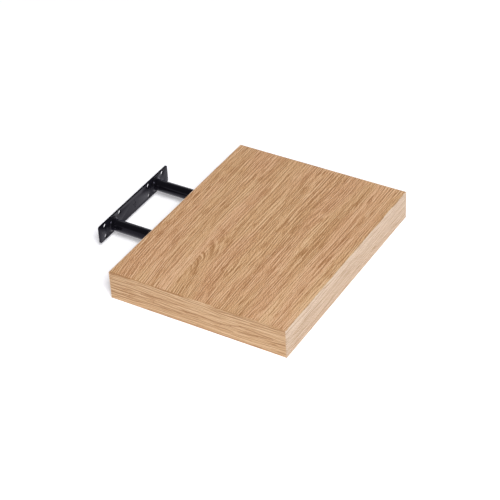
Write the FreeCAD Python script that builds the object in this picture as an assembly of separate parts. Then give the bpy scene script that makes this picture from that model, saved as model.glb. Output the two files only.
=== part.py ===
"""Floating wall shelf: a hollow-core board that slides onto two tubes of a steel wall bracket.

Millimetres. X runs along the shelf, +Y points at the wall and +Z is up. The origin is the middle
of the wall plate's back face. The board is drawn off the bracket by rest_gap.
"""
import FreeCAD, Part
import math
import os

# Board, outside
shelf_width = 300.0
shelf_depth = 235.0
shelf_thickness = 38.0
skin_thickness = 3.0
band_thickness = 1.0
arris_radius = 0.4

# Chipboard frame inside the board
long_rail_width = 30.0
end_rail_width = 25.0
guide_wall = 12.0
bore_end_wall = 17.0

# Paper honeycomb
cell_size = 18.0
paper_thickness = 0.4

# Staples across the joints of the frame
staple_wire = 1.2
staple_crown = 11.0
staple_leg = 9.0
staple_setback = 7.0

# Wall bracket
plate_thickness = 2.0
plate_corner_radius = 2.5
tube_spacing = 96.0
tube_diameter = 15.2
tube_wall = 1.5
weld_leg = 3.0
weld_face_middle = 0.38  # stand-off from the corner, as a share of the leg: 0.5 is a flat face
screw_hole_diameter = 5.5
screw_column_offset = 16.0
screw_row_spacing = 15.0
plate_end_margin = 12.0
plate_edge_margin = 4.5
up_mark_height = 12.0
up_mark_width = 7.0
up_mark_line = 1.4
up_mark_depth = 0.3

# How the board sits on the bracket
rest_gap = 65.0
tube_clearance = 0.35
tube_end_clearance = 5.0
plate_clearance = 1.0
plate_depth_clearance = 0.5
weld_clearance = 0.5
pocket_corner_radius = 4.0

# Worked out from the sizes above
plate_length = tube_spacing + 2 * screw_column_offset + 2 * plate_end_margin
plate_height = screw_row_spacing + 2 * plate_edge_margin
tube_radius = tube_diameter / 2
bore_radius = tube_radius + tube_clearance
guide_block_width = 2 * (bore_radius + guide_wall)
tube_length = (shelf_depth - band_thickness - long_rail_width - bore_end_wall
               - tube_end_clearance - plate_thickness)
bore_depth = plate_thickness + tube_length + tube_end_clearance
pocket_depth = plate_thickness + plate_depth_clearance

board_back = -plate_thickness - rest_gap
board_front = board_back - shelf_depth
board_left = -shelf_width / 2
board_right = shelf_width / 2
board_top = shelf_thickness / 2
board_bottom = -shelf_thickness / 2
core_left = board_left + band_thickness
core_right = board_right - band_thickness
core_front = board_front + band_thickness
core_back = board_back - band_thickness
core_bottom = board_bottom + skin_thickness
core_top = board_top - skin_thickness
bay_front = core_front + long_rail_width
bay_back = core_back - long_rail_width
bay_left = core_left + end_rail_width
bay_right = core_right - end_rail_width
tube_places = {"left": -tube_spacing / 2, "right": tube_spacing / 2}


def block(x0, x1, y0, y1, z0, z1):
    """A box between two corners."""
    return Part.makeBox(x1 - x0, y1 - y0, z1 - z0, FreeCAD.Vector(x0, y0, z0))


def rod_along_y(x, z, radius, y0, y1):
    """A round bar along Y from y0 to y1."""
    start = FreeCAD.Vector(x, y0, z)
    return Part.makeCylinder(radius, y1 - y0, start, FreeCAD.Vector(0, 1, 0))


def rounded_plate(length, height, radius, y0, y1):
    """A plate in the XZ plane, centred on the Y axis, with its four corners rounded."""
    slab = block(-length / 2, length / 2, y0, y1, -height / 2, height / 2)
    corners = [edge for edge in slab.Edges if runs_along(edge, FreeCAD.Vector(0, 1, 0))]
    return slab.makeFillet(radius, corners)


def runs_along(edge, direction):
    """Whether a straight edge is parallel to a direction."""
    along = edge.Vertexes[-1].Point.sub(edge.Vertexes[0].Point)
    return along.cross(direction).Length < 1e-6 * along.Length


def screw_places():
    """The centre of each screw hole, as x and z."""
    for tube_x in tube_places.values():
        for column in (-screw_column_offset, screw_column_offset):
            for row in (-screw_row_spacing / 2, screw_row_spacing / 2):
                yield tube_x + column, row


def up_mark():
    """The cutter of the plain arrow that is pressed into the plate to show which way is up."""
    front = -plate_thickness
    floor = front + up_mark_depth
    line = up_mark_line / 2
    barb = up_mark_width / 2
    tip = up_mark_height / 2
    outline = [(-line, -tip), (line, -tip), (line, 0), (barb, 0),
               (0, tip), (-barb, 0), (-line, 0), (-line, -tip)]
    wire = Part.makePolygon([FreeCAD.Vector(x, front, z) for x, z in outline])
    return Part.Face(wire).extrude(FreeCAD.Vector(0, floor - front, 0))


def wall_plate():
    """The steel plate that is screwed to the wall."""
    plate = rounded_plate(plate_length, plate_height, plate_corner_radius, -plate_thickness, 0)
    holes = [rod_along_y(x, z, screw_hole_diameter / 2, -plate_thickness, 0)
             for x, z in screw_places()]
    return plate.cut(holes).cut(up_mark())


def tube(x):
    """A steel tube that stands out of the plate, open at its far end."""
    far_end = -plate_thickness - tube_length
    outside = rod_along_y(x, 0, tube_radius, far_end, -plate_thickness)
    return outside.cut(rod_along_y(x, 0, tube_radius - tube_wall, far_end, -plate_thickness))


def weld(x):
    """The bead of weld round the root of a tube, with a slightly hollow face."""
    root = -plate_thickness
    on_tube = FreeCAD.Vector(x + tube_radius, root - weld_leg, 0)
    on_plate = FreeCAD.Vector(x + tube_radius + weld_leg, root, 0)
    corner = FreeCAD.Vector(x + tube_radius, root, 0)
    stand_off = weld_leg * weld_face_middle
    middle = FreeCAD.Vector(corner.x + stand_off, root - stand_off, 0)
    face = Part.Arc(on_tube, middle, on_plate).toShape()
    profile = Part.Wire([face, Part.makeLine(on_plate, corner), Part.makeLine(corner, on_tube)])
    return Part.Face(profile).revolve(FreeCAD.Vector(x, 0, 0), FreeCAD.Vector(0, 1, 0), 360)


def plate_pocket():
    """The cutter of the recess that lets the board close over the wall plate."""
    return rounded_plate(plate_length + 2 * plate_clearance, plate_height + 2 * plate_clearance,
                         pocket_corner_radius, board_back - pocket_depth, board_back)


def tube_bore(x):
    """The cutter of one blind bore, with a wider mouth that clears the weld."""
    bore = rod_along_y(x, 0, bore_radius, board_back - bore_depth, board_back)
    mouth_radius = tube_radius + weld_leg + weld_clearance
    mouth_floor = board_back - plate_thickness - weld_leg - weld_clearance
    return bore.fuse(rod_along_y(x, 0, mouth_radius, mouth_floor, board_back))


def staple(x, y, side):
    """One staple along Y, across a joint at x, y. side is 1 on top of the frame, -1 under it."""
    face = core_top if side > 0 else core_bottom
    half = staple_crown / 2
    wire = staple_wire / 2
    spans = [(-half, half, staple_wire), (-half, -half + staple_wire, staple_leg),
             (half - staple_wire, half, staple_leg)]
    parts = []
    for start, end, depth in spans:
        low, high = sorted((face, face - side * depth))
        parts.append(block(x - wire, x + wire, y + start, y + end, low, high))
    return parts[0].fuse(parts[1:]).removeSplitter()


def staple_places():
    """The x of each line of staples: in the end rails, and beside the bores in the blocks."""
    beside_bore = bore_radius + guide_wall / 2
    yield bay_left - staple_setback
    yield bay_right + staple_setback
    for tube_x in tube_places.values():
        yield tube_x + math.copysign(beside_bore, tube_x)


def frame_staples():
    """A staple above and below, across each joint between two members of the frame."""
    return [staple(x, joint_y, side)
            for side in (-1, 1) for joint_y in (bay_front, bay_back) for x in staple_places()]


def band_pieces():
    """Edge bands. The front and rear ones run the full width and cover the ends of the others."""
    front = block(board_left, board_right, board_front, core_front, board_bottom, board_top)
    rear = block(board_left, board_right, core_back, board_back, board_bottom, board_top)
    left = block(board_left, core_left, core_front, core_back, board_bottom, board_top)
    right = block(core_right, board_right, core_front, core_back, board_bottom, board_top)
    return {
        "front_band": eased(front, "y", board_front),
        "rear_band": eased(rear, "y", board_back).cut(plate_pocket()),
        "left_band": eased(left, "x", board_left),
        "right_band": eased(right, "x", board_right),
    }


def eased(band, normal, place):
    """Take the sharp edge off a band, all along its outer face's top and bottom."""
    edges = []
    for edge in band.Edges:
        centre = edge.CenterOfMass
        on_outer_face = abs(getattr(centre, normal) - place) < 1e-6
        along_board = abs(abs(centre.z) - board_top) < 1e-6
        if on_outer_face and along_board:
            edges.append(edge)
    return band.makeFillet(min(arris_radius, band_thickness / 2), edges)


def frame_pieces():
    """The chipboard frame, with the pocket, the bores and the staples' seats cut into it."""
    members = {
        "front_rail": (core_left, core_right, core_front, bay_front),
        "rear_rail": (core_left, core_right, bay_back, core_back),
        "left_rail": (core_left, bay_left, bay_front, bay_back),
        "right_rail": (bay_right, core_right, bay_front, bay_back),
    }
    for side, x in tube_places.items():
        half = guide_block_width / 2
        members[side + "_guide_block"] = (x - half, x + half, bay_front, bay_back)
    cutters = [tube_bore(x) for x in tube_places.values()] + frame_staples()
    cutters.append(plate_pocket())
    return {name: block(*sides, core_bottom, core_top).cut(cutters)
            for name, sides in members.items()}


def hexagon(x, y, across_flats):
    """A hexagon at the core's underside, with two of its sides along Y."""
    corner = across_flats / math.sqrt(3)
    points = []
    for step in range(7):
        angle = math.radians(60 * step + 30)
        points.append(FreeCAD.Vector(x + corner * math.cos(angle),
                                     y + corner * math.sin(angle), core_bottom))
    return Part.makePolygon(points)


def honeycomb(x0, x1):
    """Paper honeycomb from x0 to x1, stretched so that whole cells fill the bay's width."""
    columns = max(2, round((x1 - x0) / cell_size))
    across = (x1 - x0 - paper_thickness) / columns
    row_pitch = across * math.sqrt(3) / 2
    cell_height = 2 * (across + paper_thickness) / math.sqrt(3)
    rows = max(2, int((bay_back - bay_front - cell_height) / row_pitch) + 1)
    middle = FreeCAD.Vector((x0 + x1) / 2, (bay_front + bay_back) / 2, 0)
    cells = []
    for row in range(rows):
        in_row = columns - row % 2
        y = middle.y + (row - (rows - 1) / 2) * row_pitch
        for column in range(in_row):
            cells.append((middle.x + (column - (in_row - 1) / 2) * across, y))
    outside = [Part.Face(hexagon(x, y, across + paper_thickness)) for x, y in cells]
    sheet = outside[0].fuse(outside[1:]).removeSplitter().Faces[0]
    holes = [hexagon(x, y, across - paper_thickness) for x, y in cells]
    walls = Part.Face([sheet.OuterWire] + holes)
    return walls.extrude(FreeCAD.Vector(0, 0, core_top - core_bottom))


def core_pieces():
    """The honeycomb in the three bays between the ends and the guide blocks."""
    half = guide_block_width / 2
    left_tube_x = tube_places["left"]
    right_tube_x = tube_places["right"]
    return {
        "left_core": honeycomb(bay_left, left_tube_x - half),
        "middle_core": honeycomb(left_tube_x + half, right_tube_x - half),
        "right_core": honeycomb(right_tube_x + half, bay_right),
    }


def bracket_pieces():
    """The wall bracket: plate, tubes and welds."""
    pieces = {"wall_plate": wall_plate()}
    for side, x in tube_places.items():
        pieces[side + "_tube"] = tube(x)
        pieces[side + "_weld"] = weld(x)
    return pieces


def board_pieces():
    """Everything that slides with the board."""
    pieces = {
        "top_skin": block(core_left, core_right, core_front, core_back, core_top, board_top),
        "bottom_skin": block(core_left, core_right, core_front, core_back,
                             board_bottom, core_bottom),
        "frame_staples": Part.makeCompound(frame_staples()),
    }
    pieces.update(frame_pieces())
    pieces.update(core_pieces())
    pieces.update(band_pieces())
    return pieces


def main():
    os.makedirs("parts", exist_ok=True)
    for name, shape in {**bracket_pieces(), **board_pieces()}.items():
        shape.exportStep(f"parts/{name}.step")


main()
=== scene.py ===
"""The look of a floating wall shelf: an oak-effect board, drawn part of the way off its steel bracket.

Metres, in the part's own frame: X runs along the shelf, +Y points at the wall and +Z is up.
"""
import math

import bmesh
import bpy
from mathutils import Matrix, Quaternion, Vector


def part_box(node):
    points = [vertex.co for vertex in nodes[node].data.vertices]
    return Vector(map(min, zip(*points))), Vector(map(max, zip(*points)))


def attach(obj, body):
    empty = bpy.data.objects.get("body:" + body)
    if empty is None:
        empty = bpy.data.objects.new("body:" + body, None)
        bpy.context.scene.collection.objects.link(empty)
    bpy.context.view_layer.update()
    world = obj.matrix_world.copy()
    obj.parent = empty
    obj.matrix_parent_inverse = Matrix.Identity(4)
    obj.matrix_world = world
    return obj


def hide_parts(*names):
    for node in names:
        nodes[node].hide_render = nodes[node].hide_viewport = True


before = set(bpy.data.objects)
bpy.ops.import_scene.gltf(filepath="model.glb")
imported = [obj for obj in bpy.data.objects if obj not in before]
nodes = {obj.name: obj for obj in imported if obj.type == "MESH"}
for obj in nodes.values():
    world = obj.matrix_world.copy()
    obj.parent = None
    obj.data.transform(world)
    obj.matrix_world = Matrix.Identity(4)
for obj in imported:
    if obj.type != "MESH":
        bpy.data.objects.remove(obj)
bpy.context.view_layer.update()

MM = 0.001

# Camera: the point it looks at, where it stands round it in degrees, and its lens in millimetres
camera_aim = Vector((-0.0176, -0.1782, 0))
camera_distance = 1.9318
camera_azimuth = -57.93
camera_elevation = 36.76
camera_roll = -2.98
camera_lens = 117.1
camera_sensor = 36

# Light: an even sky and one large softbox. What gloss mirrors is a white backdrop, which gives way
# to a dim ceiling between two heights of the direction looked in
sky_strength = 0.22
softbox_azimuth = -45
softbox_elevation = 47
softbox_distance = 8
softbox_width = 3.0
softbox_level = 1.08
ceiling_strength = 0.12
ceiling_start = 0.30
ceiling_end = 0.55
floor_width = 8
floor_glow = 0.27

# Bracket, in millimetres, as the steel is made
plate_corner_radius = 2.5
plate_edge_rounding = 0.3
hole_diameter = 5.5
hole_column_offset = 16
hole_row_spacing = 15
arrow_height = 12
arrow_width = 7
arrow_line = 1.4
arrow_depth = 0.3
tube_wall = 1.5
tube_end_rounding = 0.25

# Weld bead: its face as a bevel's profile, where 0.25 is flat and less is hollow, the steps of its
# section, and the sizes of the sections that make up each ripple
weld_profile = 0.08
weld_section_steps = 8
weld_ripples = 34
weld_ripple_shape = (1, 0.99, 0.975, 0.955)

# How finely the bracket is modelled, in sides, steps, degrees and millimetres
round_sides = 96
corner_steps = 8
rounding_steps = 3
sharp_edge_angle = 40
smooth_angle = 35
merge_distance = 0.001

# Oak print: bands and fine lines as (length, width, share of the tone), and the grain's bends as
# (length, width, how far aside), all in millimetres
top_bands = ((400, 24, 0.34), (240, 4.5, 0.52))
end_bands = ((400, 24, 0.3), (300, 5, 0.85))
front_bands = ((400, 24, 0.34), (240, 4.5, 0.5))
oak_lines = ((60, 1.4, 1.3), (22, 1.2, 1.3))
grain_bends = ((170, 50, 9), (80, 22, 3.2))

# The grain's climb at its start: how soon it is over, and between which places across the face it
# turns from its whole sweep to a share of it, in millimetres
climb_length = 70
climb_turns_between = (100, 180)
climb_share_beyond = -0.3

# Noise in a print: how deep one patch of it goes, how far two seeds lie apart, how far a line's
# dark side lies from its light side, in widths, and the seed of each kind, so that no two are alike
patch_depth = 40
seed_step = (3.1, 7.7, 1.3)
dark_side_offset = 0.75
band_seed_step = 5
bend_seed_step = 8
noise_seeds = {"bends": 3, "speckle": 10, "lines": 17, "ripple": 31, "ring wander": 37,
               "rings shown": 41, "pores": 43, "flecks": 59, "cast": 71}

# Growth rings: even lines that wander aside and show only where a noise lies high. Patches of
# noise are (length, width) in millimetres here and below
ring_spacing = 3.1
ring_wander = 7
ring_wander_patch = (160, 10)
ring_shown_patch = (130, 6)
ring_shown_between = (0.3, 0.65)
ring_strength = 0.15

# Speckle, and the dashes of dark pores and cream flecks, which show where their noise lies high
speckle_patch = (2, 1)
pore_patch = (22, 1.2)
pore_between = (0.62, 0.74)
pore_darkness = 0.75
pore_depth = 0.04
fleck_patch = (28, 1.1)
fleck_between = (0.60, 0.74)
fleck_lightness = 0.5

# The slow drift of the colour's cast, and the ripple in the streaks
cast_patch = (110, 20)
cast_between = (0.35, 0.65)
ripple_patch = (35, 8)
ripple_swing = 3

# Cathedral: the line across the face that its arches close on, how fast they do, the middle and
# half size of the patch where they show, in millimetres along and across, from which share of that
# size they fade, and how strongly they show
arch_heart = 77
arch_slope = 0.21
arch_patch_middle = (80, 87)
arch_patch_half = (75, 16)
arch_patch_fades_from = 0.3
arch_share = 0.6

# Other finishes: the size of each pattern and the depth of its relief, in millimetres
peel_size = 1.4
peel_depth = 0.05
paint_speck_size = 0.35
chip_size = 2.6
chip_bend_size = 4
chip_bend = 1.5
chip_depth = 0.15
fibre_size = 0.8
fibre_depth = 0.05
zinc_cloud_size = 1.5

# Streaks that stand out in a print, as (start, end, half width, darkness). On the front and end some
# stand for painted light instead, marked where they are. Start and end are millimetres along the grain
# and across it from the face's own corner, and less than no darkness is a light streak
top_streaks = (
    ((0, 95), (42, 91), 5, 0.15), ((42, 91), (73, 79), 5, 0.3), ((76, 92), (106, 76), 5, 0.28),
    ((112, 91), (130, 76), 5, 0.35), ((92, 100), (160, 88), 3, 0.25), ((160, 88), (220, 79), 3, 0.2),
    ((200, 90), (226, 80), 2.5, 0.2), ((226, 80), (262, 77), 2.5, 0.15), ((232, 92), (300, 85), 2.5, 0.18),
    ((0, 12), (60, 9), 2, 0.3), ((60, 9), (88, 2), 2, 0.2), ((0, 33), (54, 38), 2, 0.15),
    ((54, 38), (138, 35), 2, 0.4), ((88, 27), (107, 26), 2, 0.4), ((150, 53), (250, 52), 2, 0.25),
    ((216, 25), (300, 23), 7, 0.2), ((124, 187), (212, 187), 2, 0.4),
    ((118, 212), (230, 214), 2.5, 0.4), ((246, 193), (268, 193), 2, 0.35), ((0, 175), (90, 173), 4, 0.2),
    ((0, 27), (300, 30), 15, 0.07), ((0, 44), (230, 44), 6, -0.12), ((0, 69), (230, 66), 14, -0.2),
    ((30, 118), (250, 122), 10, 0.2), ((230, 112), (300, 114), 9, 0.12), ((0, 152), (300, 151), 9, 0.14),
    ((0, 131), (130, 133), 7, 0.14), ((120, 134), (290, 141), 9, 0.15), ((0, 205), (110, 202), 12, -0.22),
    ((110, 200), (300, 200), 7, -0.16), ((0, 230), (100, 232), 12, -0.25), ((100, 221), (300, 221), 5, -0.08),
    ((60, 234.6), (160, 234.6), 1.6, 0.2), ((160, 234.6), (300, 234.6), 1.6, 0.4),
)
end_streaks_and_painted_light = (
    ((0, 0.3), (30, 0.3), 1.6, 0.3), ((42, 0.3), (100, 0.3), 1.6, 0.25), ((150, 1.5), (235, 1.5), 1.6, 0.3),
    ((190, 5.7), (235, 6), 1.6, 0.3), ((0, 18.5), (44, 16.6), 2, 0.4),
    ((0, 14.5), (60, 13), 1.6, 0.2), ((44, 16.6), (71, 15), 2, 0.5), ((71, 15), (92, 15), 2, 0.4),
    ((92, 15), (104, 21), 1.8, 0.25), ((104, 21), (150, 21), 1.8, 0.42), ((150, 21), (163, 18.8), 1.8, 0.32),
    ((163, 18.8), (176, 15.8), 1.8, 0.4), ((176, 15.8), (217, 17), 2, 0.4), ((0, 28.5), (12, 28), 1.6, 0.32),
    ((12, 28), (27, 24.4), 1.6, 0.32), ((27, 24.4), (60, 22.6), 1.8, 0.32),
    ((60, 22.6), (75, 24.8), 1.8, 0.32),
    ((75, 24.8), (120, 24), 1.8, 0.32), ((0, 36), (10, 32.5), 1.5, 0.25), ((10, 32.5), (30, 28.5), 1.5, 0.25),
    ((142, 26.4), (166, 26.8), 1.6, 0.32), ((173, 24.5), (198, 21), 1.8, 0.32),
    ((215, 32.5), (235, 27), 1.6, 0.25), ((95, 31), (190, 31), 1.6, 0.15), ((0, 24), (80, 26), 14, 0.06),
    # Painted light: a warmer, darker line where the lower arris takes the floor's light
    ((0, 37.5), (235, 37.5), 2, 0.25),
)
front_streaks_and_painted_light = (
    # The first two streaks are painted light: a highlight along the top arris, and the face lighter above for
    # its glancing sheen
    ((0, 0), (300, 0), 2.5, -0.35), ((0, 9), (300, 8), 9, -0.21), ((0, 20), (60, 19), 3, 0.08),
    ((110, 17), (160, 19), 3, 0.1), ((160, 19), (225, 18), 3, 0.1), ((20, 33), (120, 28), 4, 0.12),
    # The last two streaks on this line are painted light too: the face darker below where its sheen fades,
    # and a warmer, darker line where the lower arris takes the floor's light
    ((150, 26), (270, 27), 7, 0.12), ((0, 30), (300, 30), 9, 0.13), ((0, 37.5), (300, 37.5), 2, 0.3),
)


def linear(hex_colour):
    """An sRGB hex colour as the linear RGBA that a shader takes."""
    channels = [int(hex_colour[place:place + 2], 16) / 255 for place in (0, 2, 4)]
    return (*(c / 12.92 if c <= 0.04045 else ((c + 0.055) / 1.055) ** 2.4 for c in channels), 1)


def add(tree, kind, sockets=(), **settings):
    """Add a shader node. sockets fills its inputs in order or by key, with values or with other nodes.

    A Mix node's inputs go by number: 0 is its factor, and it mixes 2 and 3 as values, 4 and 5 as
    vectors, or 6 and 7 as colours.
    """
    made = tree.nodes.new("ShaderNode" + kind)
    for name, value in settings.items():
        setattr(made, name, value)
    for place, value in (sockets.items() if isinstance(sockets, dict) else enumerate(sockets)):
        if isinstance(value, bpy.types.Node):
            value = next(output for output in value.outputs if output.enabled)
        if isinstance(value, bpy.types.NodeSocket):
            tree.links.new(value, made.inputs[place])
        else:
            made.inputs[place].default_value = value
    return made


def blank(name):
    """A new node material with nothing in it."""
    made = bpy.data.materials.new(name)
    made.use_nodes = True
    made.node_tree.nodes.clear()
    return made


def finish(material, surface):
    """Lead a shader to the material's output."""
    add(material.node_tree, "OutputMaterial", [surface])
    return material


# ---------------------------------------------------------------- oak print

def stretched_noise(tree, grain, length, width, seed, aside=0.0):
    """Noise drawn out along the grain: length and width are one patch of it, in millimetres."""
    start = [step * seed for step in seed_step]
    start[1] += aside
    place = add(tree, "Mapping", {"Vector": grain, "Location": start,
                                  "Scale": (1 / length, 1 / width, 1 / patch_depth)})
    return add(tree, "TexNoise", {"Vector": place, "Scale": 1, "Detail": 0.5, "Roughness": 0.5})


def stretch(tree, value, low, high, bottom=0.0, top=1.0):
    """Spread the values between low and high over the whole range, with soft ends."""
    return add(tree, "MapRange", {"Value": value, "From Min": low, "From Max": high,
                                  "To Min": bottom, "To Max": top}, interpolation_type="SMOOTHSTEP")


def arch_over_heart(tree, along, across):
    """The place across the grain, changed so that lines drawn from it close over the heart in arches."""
    depth = add(tree, "Math", [along, arch_slope], operation="MULTIPLY")
    depth = add(tree, "Math", [depth, depth], operation="MULTIPLY")
    aside = add(tree, "Math", [across, arch_heart], operation="SUBTRACT")
    reach = add(tree, "Math", [aside, aside, depth], operation="MULTIPLY_ADD")
    reach = add(tree, "Math", [reach], operation="SQRT")
    side = add(tree, "Math", [aside], operation="SIGN")
    return add(tree, "Math", [reach, side, arch_heart], operation="MULTIPLY_ADD")


def bend_grain(tree, along, across, through, sweep):
    """The grain's own coordinates: it wanders a little, and from its start it climbs aside by sweep."""
    place = add(tree, "CombineXYZ", [along, across, through])
    climb = add(tree, "Math", [along, -1 / climb_length], operation="MULTIPLY")
    climb = add(tree, "Math", [climb], operation="EXPONENT")
    climb = add(tree, "Math", [climb, -sweep, sweep], operation="MULTIPLY_ADD")
    turned = stretch(tree, across, *climb_turns_between, 1, climb_share_beyond)
    climb = add(tree, "Math", [climb, turned], operation="MULTIPLY")
    bent = add(tree, "Math", [across, climb], operation="ADD")
    for number, (length, width, swing) in enumerate(grain_bends):
        wander = stretched_noise(tree, place, length, width, noise_seeds["bends"] + bend_seed_step * number)
        bent = add(tree, "Math", [wander, swing, bent], operation="MULTIPLY_ADD")
    return add(tree, "CombineXYZ", [along, bent, through])


def fine_lines(tree, grain, length, width, seed):
    """Lines along the grain, each with a light side and a dark one, so that together they change no tone."""
    light_side = stretched_noise(tree, grain, length, width, seed)
    dark_side = stretched_noise(tree, grain, length, width, seed, dark_side_offset)
    return add(tree, "Math", [light_side, dark_side], operation="SUBTRACT")


def growth_lines(tree, grain, seed, strength):
    """Fine lines along the grain, light and dark, and the even ones of the growth rings among them."""
    tone = 0
    for number, (length, width, share) in enumerate(oak_lines):
        line = fine_lines(tree, grain, length, width, seed + noise_seeds["lines"] + band_seed_step * number)
        tone = add(tree, "Math", [line, share * strength, tone], operation="MULTIPLY_ADD")
    across = add(tree, "SeparateXYZ", [grain]).outputs["Y"]
    wander = stretched_noise(tree, grain, *ring_wander_patch, seed + noise_seeds["ring wander"])
    across = add(tree, "Math", [wander, ring_wander, across], operation="MULTIPLY_ADD")
    rings = add(tree, "Math", [across, math.tau / ring_spacing], operation="MULTIPLY")
    rings = add(tree, "Math", [rings], operation="SINE")
    shown = stretched_noise(tree, grain, *ring_shown_patch, seed + noise_seeds["rings shown"])
    shown = stretch(tree, shown, *ring_shown_between, 0, ring_strength * strength)
    return add(tree, "Math", [rings, shown, tone], operation="MULTIPLY_ADD")


def arched_share(tree, along, across):
    """How strongly the cathedral's arches show: most in the middle of their patch, and not beyond it."""
    off = add(tree, "CombineXYZ", [along, across])
    off = add(tree, "VectorMath", [off, (*arch_patch_middle, 0)], operation="SUBTRACT")
    off = add(tree, "VectorMath", [off, (*arch_patch_half, 1)], operation="DIVIDE")
    off = add(tree, "VectorMath", [off], operation="LENGTH").outputs["Value"]
    return stretch(tree, off, 1, arch_patch_fades_from, 0, arch_share)


def streak(tree, flat, start, end, half_width):
    """A soft stroke between two places on the face: 1 along its middle and 0 beyond its half width."""
    run = Vector((*end, 0)) - Vector((*start, 0))
    off = add(tree, "VectorMath", [flat, (*start, 0)], operation="SUBTRACT")
    share = add(tree, "VectorMath", [off, run / run.length_squared], operation="DOT_PRODUCT").outputs["Value"]
    nearest = add(tree, "VectorMath", {0: run, "Scale": add(tree, "Clamp", [share])}, operation="SCALE")
    gap = add(tree, "VectorMath", [off, nearest], operation="DISTANCE").outputs["Value"]
    return stretch(tree, gap, half_width, 0)


def draw_streaks(tree, grain, along, across, seed, streaks):
    """How much darker a print's streaks, and the streaks of painted light along a face's edges, make each
    place. Their edges ripple a little, as grain does.
    """
    ripple = stretched_noise(tree, grain, *ripple_patch, seed + noise_seeds["ripple"])
    rippled = add(tree, "Math", [ripple, ripple_swing, across], operation="MULTIPLY_ADD")
    rippled = add(tree, "Math", [rippled, ripple_swing / 2], operation="SUBTRACT")
    flat = add(tree, "CombineXYZ", [along, rippled])
    drawn = 0
    for start, end, half_width, darkness in streaks:
        stroke = streak(tree, flat, start, end, half_width)
        drawn = add(tree, "Math", [stroke, darkness, drawn], operation="MULTIPLY_ADD")
    return drawn


def colour_between(tree, tone, tones):
    """A tone from 0 to 1 as a colour, from a dark through a middle to a light one."""
    dark, middle, light = (linear(colour) for colour in tones)
    lower = add(tree, "MapRange", {"Value": tone, "To Max": 1, "From Min": 0, "From Max": 0.5})
    upper = add(tree, "MapRange", {"Value": tone, "To Max": 1, "From Min": 0.5, "From Max": 1})
    colour = add(tree, "Mix", {0: lower, 6: dark, 7: middle}, data_type="RGBA")
    return add(tree, "Mix", {0: upper, 6: colour, 7: light}, data_type="RGBA")


def oak_print(name, axes, corner, seed, tones, strength, bands, speckle_share, streaks,
              sweep=0, arched=False, casts=None):
    """Oak printed on melamine foil: bands and streaks along the grain, dark pore dashes and cream flecks.

    axes turns the part's axes into along, across and through the face, and corner is where the
    figure starts. strength is how far the pattern moves the tone, sweep how far the grain climbs,
    and casts are two tints that the colour drifts between. tones and streaks can carry painted light
    as well: paler tones for a face's glancing sheen, and highlight and shade along its edges. The foil
    is embossed along its pores, so they catch the light as fine grooves. The finest dashes are drawn
    about 1 mm wide, several times too coarse, because real ones would not show.
    """
    material = blank(name)
    tree = material.node_tree
    where = add(tree, "TexCoord").outputs["Object"]
    where = add(tree, "VectorMath", [where, corner], operation="SUBTRACT")
    where = add(tree, "VectorMath", {0: where, "Scale": 1 / MM}, operation="SCALE")
    along, across, through = (add(tree, "VectorMath", [where, axis], operation="DOT_PRODUCT").outputs["Value"]
                              for axis in axes)
    grain = bend_grain(tree, along, across, through, sweep)

    # The bands are noise about 0.5, so the tone starts as far under its middle as they lift it
    tone = 0.5 - strength * sum(share for length, width, share in bands) / 2
    for number, (length, width, share) in enumerate(bands):
        band = stretched_noise(tree, grain, length, width, seed + band_seed_step * number)
        tone = add(tree, "Math", [band, share * strength, tone], operation="MULTIPLY_ADD")
    lines = growth_lines(tree, grain, seed, strength)
    if arched:
        arched_grain = bend_grain(tree, along, arch_over_heart(tree, along, across), through, sweep)
        arches = growth_lines(tree, arched_grain, seed, strength)
        lines = add(tree, "Mix", {0: arched_share(tree, along, across), 2: lines, 3: arches})
    tone = add(tree, "Math", [tone, lines], operation="ADD")
    speckle = fine_lines(tree, grain, *speckle_patch, seed + noise_seeds["speckle"])
    tone = add(tree, "Math", [speckle, speckle_share * strength, tone], operation="MULTIPLY_ADD")
    drawn = draw_streaks(tree, grain, along, across, seed, streaks)
    tone = add(tree, "Math", [tone, drawn], operation="SUBTRACT")

    pores = stretched_noise(tree, grain, *pore_patch, seed + noise_seeds["pores"])
    pores = stretch(tree, pores, *pore_between)
    tone = add(tree, "Math", [pores, -pore_darkness * strength, tone], operation="MULTIPLY_ADD")
    flecks = stretched_noise(tree, grain, *fleck_patch, seed + noise_seeds["flecks"])
    flecks = stretch(tree, flecks, *fleck_between)
    tone = add(tree, "Math", [flecks, fleck_lightness * strength, tone], operation="MULTIPLY_ADD")

    wood = colour_between(tree, tone, tones)
    if casts:
        rosy, golden = (linear(colour) for colour in casts)
        cast = stretched_noise(tree, grain, *cast_patch, seed + noise_seeds["cast"])
        cast = add(tree, "Mix", {0: stretch(tree, cast, *cast_between), 6: rosy, 7: golden}, data_type="RGBA")
        wood = add(tree, "Mix", {0: 1, 6: wood, 7: cast}, data_type="RGBA", blend_type="MULTIPLY")

    relief = add(tree, "Bump", {"Strength": 0.3, "Distance": pore_depth * MM, "Height": pores}, invert=True)
    roughness = add(tree, "MapRange", {"Value": pores, "To Min": 0.4, "To Max": 0.6})
    surface = add(tree, "BsdfPrincipled", {"Base Color": wood, "Roughness": roughness, "Normal": relief,
                                           "IOR": 1.5})
    return finish(material, surface)


# ---------------------------------------------------------------- other finishes

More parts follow.
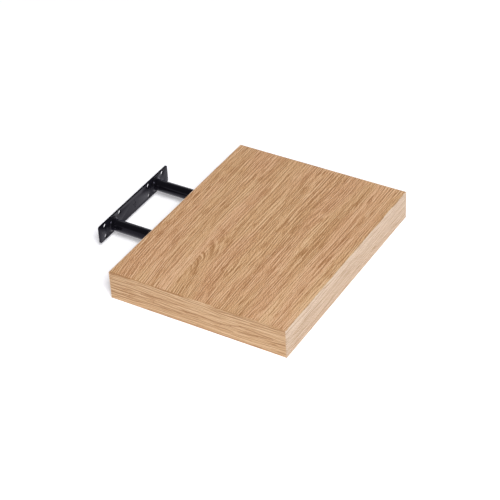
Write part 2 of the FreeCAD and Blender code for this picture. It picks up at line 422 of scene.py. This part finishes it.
def powder_coat():
    """Satin black polyester powder coat on steel: near black, its faint gloss broken by orange peel."""
    material = blank("satin_black_powder_coat")
    tree = material.node_tree
    where = add(tree, "TexCoord").outputs["Object"]
    peel = add(tree, "TexNoise", {"Vector": where, "Scale": 1 / (peel_size * MM), "Detail": 1})
    specks = add(tree, "TexNoise", {"Vector": where, "Scale": 1 / (paint_speck_size * MM), "Detail": 2})
    relief = add(tree, "Bump", {"Strength": 0.1, "Distance": peel_depth * MM, "Height": peel})
    tint = add(tree, "Mix", {0: stretch(tree, specks, 0.3, 0.7), 6: linear("08080a"), 7: linear("0f0e12")},
               data_type="RGBA")
    roughness = add(tree, "MapRange", {"Value": peel, "To Min": 0.07, "To Max": 0.12})
    surface = add(tree, "BsdfPrincipled", {"Base Color": tint, "Roughness": roughness, "Normal": relief,
                                           "IOR": 1.25, "Specular Tint": linear("e4deff"),
                                           "Sheen Weight": 0.045, "Sheen Roughness": 0.5,
                                           "Sheen Tint": linear("cfc6ff")})
    return finish(material, surface)


def chipboard():
    """Raw chipboard, pressed wood chips in resin: flat flakes of several tans, each lying its own way."""
    material = blank("raw_chipboard")
    tree = material.node_tree
    where = add(tree, "TexCoord").outputs["Object"]
    bend = add(tree, "TexNoise", {"Vector": where, "Scale": 1 / (chip_bend_size * MM), "Detail": 2})
    bent = add(tree, "Mix", {0: chip_bend * MM, 4: where, 5: bend.outputs["Color"]}, data_type="VECTOR")
    chips = add(tree, "TexVoronoi", {"Vector": bent, "Scale": 1 / (chip_size * MM)})
    pick = add(tree, "SeparateColor", [chips.outputs["Color"]])
    pale = add(tree, "Mix", {0: pick, 6: linear("b08d5f"), 7: linear("d9bd90")}, data_type="RGBA")
    fleck = stretch(tree, pick.outputs[1], 0.82, 0.9)
    tint = add(tree, "Mix", {0: fleck, 6: pale, 7: linear("7d5a37")}, data_type="RGBA")
    relief = add(tree, "Bump", {"Strength": 0.6, "Distance": chip_depth * MM,
                                "Height": chips.outputs["Distance"]})
    surface = add(tree, "BsdfPrincipled", {"Base Color": tint, "Roughness": 0.85, "Normal": relief})
    return finish(material, surface)


def kraft_paper():
    """Brown kraft paper: matt, with fine fibres that lighten and darken it."""
    material = blank("kraft_paper")
    tree = material.node_tree
    where = add(tree, "TexCoord").outputs["Object"]
    fibres = add(tree, "TexNoise", {"Vector": where, "Scale": 1 / (fibre_size * MM), "Detail": 4})
    tint = add(tree, "Mix", {0: stretch(tree, fibres, 0.3, 0.7), 6: linear("93703f"), 7: linear("b89566")},
               data_type="RGBA")
    relief = add(tree, "Bump", {"Strength": 0.3, "Distance": fibre_depth * MM, "Height": fibres})
    surface = add(tree, "BsdfPrincipled", {"Base Color": tint, "Roughness": 0.9, "Normal": relief})
    return finish(material, surface)


def galvanised_wire():
    """Zinc-coated steel wire: a soft grey metal with a cloudy gloss."""
    material = blank("galvanised_wire")
    tree = material.node_tree
    where = add(tree, "TexCoord").outputs["Object"]
    cloud = add(tree, "TexNoise", {"Vector": where, "Scale": 1 / (zinc_cloud_size * MM), "Detail": 3})
    tint = add(tree, "Mix", {0: cloud, 6: linear("9da0a3"), 7: linear("c3c5c7")}, data_type="RGBA")
    roughness = add(tree, "MapRange", {"Value": cloud, "To Min": 0.28, "To Max": 0.45})
    surface = add(tree, "BsdfPrincipled", {"Base Color": tint, "Metallic": 1, "Roughness": roughness})
    return finish(material, surface)


# ---------------------------------------------------------------- modelling

def select_none():
    """Leave nothing selected, so that an operator acts only on what comes next."""
    if bpy.context.mode != "OBJECT":
        bpy.ops.object.mode_set(mode="OBJECT")
    bpy.ops.object.select_all(action="DESELECT")


def select_only(piece):
    """Make a piece the one that the next operator acts on."""
    select_none()
    piece.select_set(True)
    bpy.context.view_layer.objects.active = piece


def begin(name):
    """Name the primitive that was just added."""
    piece = bpy.context.active_object
    piece.name = name
    piece.data.name = name
    return piece


def open_with_edges(piece, wanted):
    """Open a piece in edit mode with only those edges selected whose two ends pass a test."""
    select_only(piece)
    bpy.context.tool_settings.mesh_select_mode = (False, True, False)
    mesh = piece.data
    for part in (*mesh.vertices, *mesh.edges, *mesh.polygons):
        part.select = False
    for edge in mesh.edges:
        start, end = (mesh.vertices[corner] for corner in edge.vertices)
        if wanted(start.co, end.co):
            edge.select = start.select = end.select = True
    bpy.ops.object.mode_set(mode="EDIT")


def settle(piece, body, replaced, material):
    """Put a finished piece's place into its mesh, give it its material and let it ride on its body."""
    select_only(piece)
    bpy.ops.object.transform_apply(location=True, rotation=True, scale=True)
    bpy.ops.object.shade_smooth_by_angle(angle=math.radians(smooth_angle))
    piece.data.materials.clear()
    piece.data.materials.append(material)
    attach(piece, body)
    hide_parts(replaced)


def apply_modifier(piece, kind, **settings):
    """Add a modifier to a piece and apply it at once."""
    modifier = piece.modifiers.new(kind.lower(), kind)
    for name, value in settings.items():
        setattr(modifier, name, value)
    select_only(piece)
    bpy.ops.object.modifier_apply(modifier=modifier.name)


def round_edges(piece, radius):
    """Round the sharp edges of a piece by a radius in millimetres."""
    apply_modifier(piece, "BEVEL", width=radius * MM, segments=rounding_steps, limit_method="ANGLE",
                   angle_limit=math.radians(sharp_edge_angle))


def cut(piece, cutter):
    """Take a cutter's shape out of a piece, and throw the cutter away."""
    apply_modifier(piece, "BOOLEAN", object=cutter, operation="DIFFERENCE", solver="EXACT")
    bpy.data.objects.remove(cutter)


def copied(piece, name, shift):
    """A second piece like a first one, with a mesh of its own, moved to its place."""
    select_only(piece)
    bpy.ops.object.duplicate()
    bpy.ops.transform.translate(value=shift)
    return begin(name)


def cylinder_along_y(place, radius, length):
    """A round bar along Y about a place, as a start for a tube or a hole."""
    select_none()
    bpy.ops.mesh.primitive_cylinder_add(vertices=round_sides, radius=radius, depth=length,
                                        location=place, rotation=(math.pi / 2, 0, 0))
    bpy.ops.object.transform_apply(location=True, rotation=True, scale=True)
    return bpy.context.active_object


def wall_plate(tube_places, paint):
    """The steel plate: rounded corners, punched holes, a pressed arrow, and paint softening each edge."""
    low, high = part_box("wall_plate")
    select_none()
    bpy.ops.mesh.primitive_cube_add(size=1, location=(low + high) / 2)
    plate = begin("painted_wall_plate")
    plate.dimensions = high - low
    bpy.ops.object.transform_apply(location=True, rotation=True, scale=True)
    open_with_edges(plate, lambda start, end: abs(start.y - end.y) > MM)
    bpy.ops.mesh.bevel(offset=plate_corner_radius * MM, segments=corner_steps, affect="EDGES")
    bpy.ops.object.mode_set(mode="OBJECT")
    middle = (low.y + high.y) / 2
    right_through = 3 * (high.y - low.y)
    for tube_x in tube_places:
        for column in (-hole_column_offset, hole_column_offset):
            for row in (-hole_row_spacing / 2, hole_row_spacing / 2):
                place = Vector((tube_x + column * MM, middle, row * MM))
                cut(plate, cylinder_along_y(place, hole_diameter / 2 * MM, right_through))
    round_edges(plate, plate_edge_rounding)
    for stamp in arrow_stamps(low.y):
        cut(plate, stamp)
    settle(plate, "bracket", "wall_plate", paint)


def arrow_stamps(face):
    """The stamps of the plain arrow that shows which way up the plate goes: its stem, then its head.

    The stem takes the lower two thirds of its height and the head the upper half.
    """
    half = arrow_height / 2
    reach = 2 * arrow_depth
    select_none()
    bpy.ops.mesh.primitive_cube_add(size=1, location=(0, face, -half / 3 * MM))
    stem = bpy.context.active_object
    stem.dimensions = (arrow_line * MM, reach * MM, half * 4 / 3 * MM)
    bpy.ops.object.transform_apply(location=True, rotation=True, scale=True)
    yield stem
    select_none()
    bpy.ops.mesh.primitive_cylinder_add(vertices=3, radius=half, depth=reach * MM,
                                        rotation=(math.pi / 2, 0, 0))
    head = bpy.context.active_object
    bpy.ops.object.transform_apply(location=False, rotation=True, scale=True)
    head.dimensions = (arrow_width * MM, reach * MM, half * MM)
    bpy.ops.object.transform_apply(location=True, rotation=True, scale=True)
    lowest = min(corner.co.z for corner in head.data.vertices)
    head.location = (0, face, -lowest)
    bpy.ops.object.transform_apply(location=True, rotation=True, scale=True)
    yield head


def tube():
    """A steel tube, sawn square and deburred at its open end."""
    low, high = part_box("left_tube")
    centre = (low + high) / 2
    radius = (high.z - low.z) / 2
    right_through = 2 * (high.y - low.y)
    cylinder_along_y(centre, radius, high.y - low.y)
    piece = begin("painted_left_tube")
    cut(piece, cylinder_along_y(centre, radius - tube_wall * MM, right_through))
    round_edges(piece, tube_end_rounding)
    return piece


def weld():
    """The weld bead round a tube's root: a square's corner, bevelled hollow and swept round in ripples."""
    low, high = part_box("left_weld")
    tube_low, tube_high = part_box("left_tube")
    centre = (low + high) / 2
    leg = high.y - low.y
    tube_radius = (tube_high.z - tube_low.z) / 2
    root = Vector((centre.x + tube_radius, high.y, centre.z))
    select_none()
    bpy.ops.mesh.primitive_plane_add(size=leg, location=root + Vector((leg / 2, -leg / 2, 0)))
    piece = begin("painted_left_weld")
    bpy.ops.object.transform_apply(location=True, rotation=True, scale=True)
    bpy.context.tool_settings.mesh_select_mode = (True, False, False)
    bpy.ops.object.mode_set(mode="EDIT")
    bpy.ops.mesh.select_all(action="DESELECT")
    section = bmesh.from_edit_mesh(piece.data)
    for corner in section.verts:
        corner.select = corner.co.x > root.x + leg / 2 and corner.co.y < root.y - leg / 2
    bpy.ops.mesh.bevel(offset=leg, segments=weld_section_steps, profile=weld_profile, affect="VERTICES")
    bpy.ops.mesh.select_all(action="SELECT")
    bpy.ops.mesh.remove_doubles(threshold=merge_distance * MM)
    bpy.ops.mesh.select_all(action="SELECT")
    bpy.ops.mesh.delete(type="ONLY_FACE")
    bpy.ops.mesh.select_all(action="SELECT")
    bpy.ops.mesh.spin(steps=weld_ripples * len(weld_ripple_shape), angle=math.tau, axis=(0, 1, 0),
                      center=(centre.x, root.y, centre.z))
    bpy.ops.mesh.select_all(action="SELECT")
    bpy.ops.mesh.remove_doubles(threshold=merge_distance * MM)
    bpy.ops.mesh.normals_make_consistent(inside=False)
    draw_in_ripples(piece, centre, tube_radius, root.y)
    bpy.ops.object.mode_set(mode="OBJECT")
    return piece


def draw_in_ripples(piece, centre, tube_radius, root_y):
    """Shrink each section of a bead towards its seat in turn, so that it lies in overlapping scales."""
    sections = weld_ripples * len(weld_ripple_shape)
    bead = bmesh.from_edit_mesh(piece.data)
    section_of = {}
    for corner in bead.verts:
        turn = math.atan2(corner.co.z - centre.z, corner.co.x - centre.x)
        section_of[corner] = round(turn / math.tau * sections) % sections
    for section in range(sections):
        turn = math.tau * section / sections
        seat = Vector((centre.x + tube_radius * math.cos(turn), root_y,
                       centre.z + tube_radius * math.sin(turn)))
        for corner in bead.verts:
            corner.select = section_of[corner] == section
        shrink = weld_ripple_shape[section % len(weld_ripple_shape)]
        bpy.ops.transform.resize(value=(shrink, shrink, shrink), center_override=seat)


# ---------------------------------------------------------------- studio

def stand_camera():
    """Stand the camera round the point it looks at, and tilt it a little about its own axis."""
    data = bpy.data.cameras.new("camera")
    data.lens = camera_lens
    data.sensor_width = camera_sensor
    camera = bpy.data.objects.new("camera", data)
    bpy.context.collection.objects.link(camera)
    back = towards(camera_azimuth, camera_elevation)
    tilt = Quaternion((0, 0, 1), math.radians(camera_roll))
    camera.rotation_mode = "QUATERNION"
    camera.rotation_quaternion = (-back).to_track_quat("-Z", "Y") @ tilt
    camera.location = camera_aim + back * camera_distance
    bpy.context.scene.camera = camera


def towards(azimuth, elevation):
    """A unit vector out to a place round the part: azimuth 0 is in front and 90 at the right end."""
    turn, lift = math.radians(azimuth), math.radians(elevation)
    return Vector((math.sin(turn) * math.cos(lift), -math.cos(turn) * math.cos(lift), math.sin(lift)))


def seen_directly(tree):
    """1 for what the camera sees, also in gloss or through glass, and 0 for what lights the part."""
    path = add(tree, "LightPath")
    seen = add(tree, "Math", [path.outputs["Is Camera Ray"], path.outputs["Is Glossy Ray"]], operation="ADD")
    return add(tree, "Math", [seen, path.outputs["Is Transmission Ray"]], operation="ADD", use_clamp=True)


def light_studio():
    """An even sky, a dim ceiling that shows only in gloss, and one large softbox for a soft shadow."""
    world = bpy.data.worlds.new("white_studio")
    world.use_nodes = True
    bpy.context.scene.world = world
    tree = world.node_tree
    tree.nodes.clear()
    lift = add(tree, "SeparateXYZ", [add(tree, "TexCoord").outputs["Generated"]]).outputs["Z"]
    ceiling = stretch(tree, lift, ceiling_start, ceiling_end, 1, ceiling_strength)
    mirrored = add(tree, "LightPath").outputs["Is Glossy Ray"]
    backdrop = add(tree, "Mix", {0: mirrored, 2: 1, 3: ceiling})
    light = add(tree, "Background", {"Color": linear("f6f5ff"), "Strength": sky_strength})
    white = add(tree, "Background", {"Color": (1, 1, 1, 1), "Strength": backdrop})
    add(tree, "OutputWorld", [add(tree, "MixShader", [seen_directly(tree), light, white])])

    data = bpy.data.lights.new("softbox", "AREA")
    data.shape = "SQUARE"
    data.size = softbox_width
    # The light that reaches the part falls with the square of the distance, and this makes up for it
    data.energy = softbox_level * (math.pi * softbox_distance) ** 2
    softbox = bpy.data.objects.new("softbox", data)
    bpy.context.collection.objects.link(softbox)
    back = towards(softbox_azimuth, softbox_elevation)
    softbox.location = camera_aim + back * softbox_distance
    softbox.rotation_mode = "QUATERNION"
    softbox.rotation_quaternion = (-back).to_track_quat("-Z", "Y")


def lay_floor(height):
    """A pale floor that keeps the part's shadow. A faint glow, seen but not cast, lifts the rest to white."""
    select_none()
    bpy.ops.mesh.primitive_plane_add(size=floor_width, location=(0, 0, height))
    floor = begin("floor")
    material = blank("white_floor")
    tree = material.node_tree
    lit = add(tree, "BsdfDiffuse", {"Color": linear("f6f6f8")})
    glow = add(tree, "Math", [seen_directly(tree), floor_glow], operation="MULTIPLY")
    white = add(tree, "Emission", {"Color": linear("faf9fb"), "Strength": glow})
    floor.data.materials.append(finish(material, add(tree, "AddShader", [lit, white])))


# ---------------------------------------------------------------- the shelf

def dress(names, material):
    """Give CAD nodes a material."""
    for name in names:
        nodes[name].data.materials.clear()
        nodes[name].data.materials.append(material)


def main():
    """Set up the studio, give the board's solids their finishes, and model the painted bracket."""
    bpy.context.scene.view_settings.view_transform = "Standard"
    board_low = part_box("left_band")[0]
    front_low, front_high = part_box("front_band")
    rear_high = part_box("rear_band")[1]
    stand_camera()
    light_studio()
    lay_floor(board_low.z)

    right, forward, down = (1, 0, 0), (0, -1, 0), (0, 0, -1)
    back_left = Vector((front_low.x, rear_high.y, front_high.z))
    top = oak_print("oak_print_on_melamine_foil", (right, forward, down), back_left, seed=1,
                    tones=("a37347", "d0a175", "e7c39c"), strength=1, bands=top_bands, speckle_share=1.35,
                    streaks=top_streaks, sweep=10, arched=True, casts=("fffcfc", "fefffa"))
    ends = oak_print("oak_print_edge_band", (forward, down, right), back_left, seed=2,
                     tones=("9d7042", "c49c71", "dcbc95"), strength=0.74, bands=end_bands, speckle_share=0.9,
                     streaks=end_streaks_and_painted_light)
    # The front band's tones are paler than the top's, to stand in for the glancing sheen this face shows:
    # painted reflection
    front = oak_print("oak_edge_band_paled_by_painted_sheen", (right, down, forward), back_left, seed=3,
                      tones=("af8c69", "caab8b", "dec7ae"), strength=1.07, bands=front_bands,
                      speckle_share=1.2, streaks=front_streaks_and_painted_light)
    dress(["top_skin", "bottom_skin"], top)
    dress(["left_band", "right_band"], ends)
    dress(["front_band", "rear_band"], front)
    dress(["front_rail", "rear_rail", "left_rail", "right_rail", "left_guide_block", "right_guide_block"],
          chipboard())
    dress(["left_core", "middle_core", "right_core"], kraft_paper())
    dress(["frame_staples"], galvanised_wire())

    paint = powder_coat()
    left_low, left_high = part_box("left_tube")
    right_low, right_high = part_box("right_tube")
    for kind, left_piece in (("tube", tube()), ("weld", weld())):
        right_piece = copied(left_piece, "painted_right_" + kind, right_low - left_low)
        settle(left_piece, "bracket", "left_" + kind, paint)
        settle(right_piece, "bracket", "right_" + kind, paint)
    wall_plate([(left_low.x + left_high.x) / 2, (right_low.x + right_high.x) / 2], paint)


main()
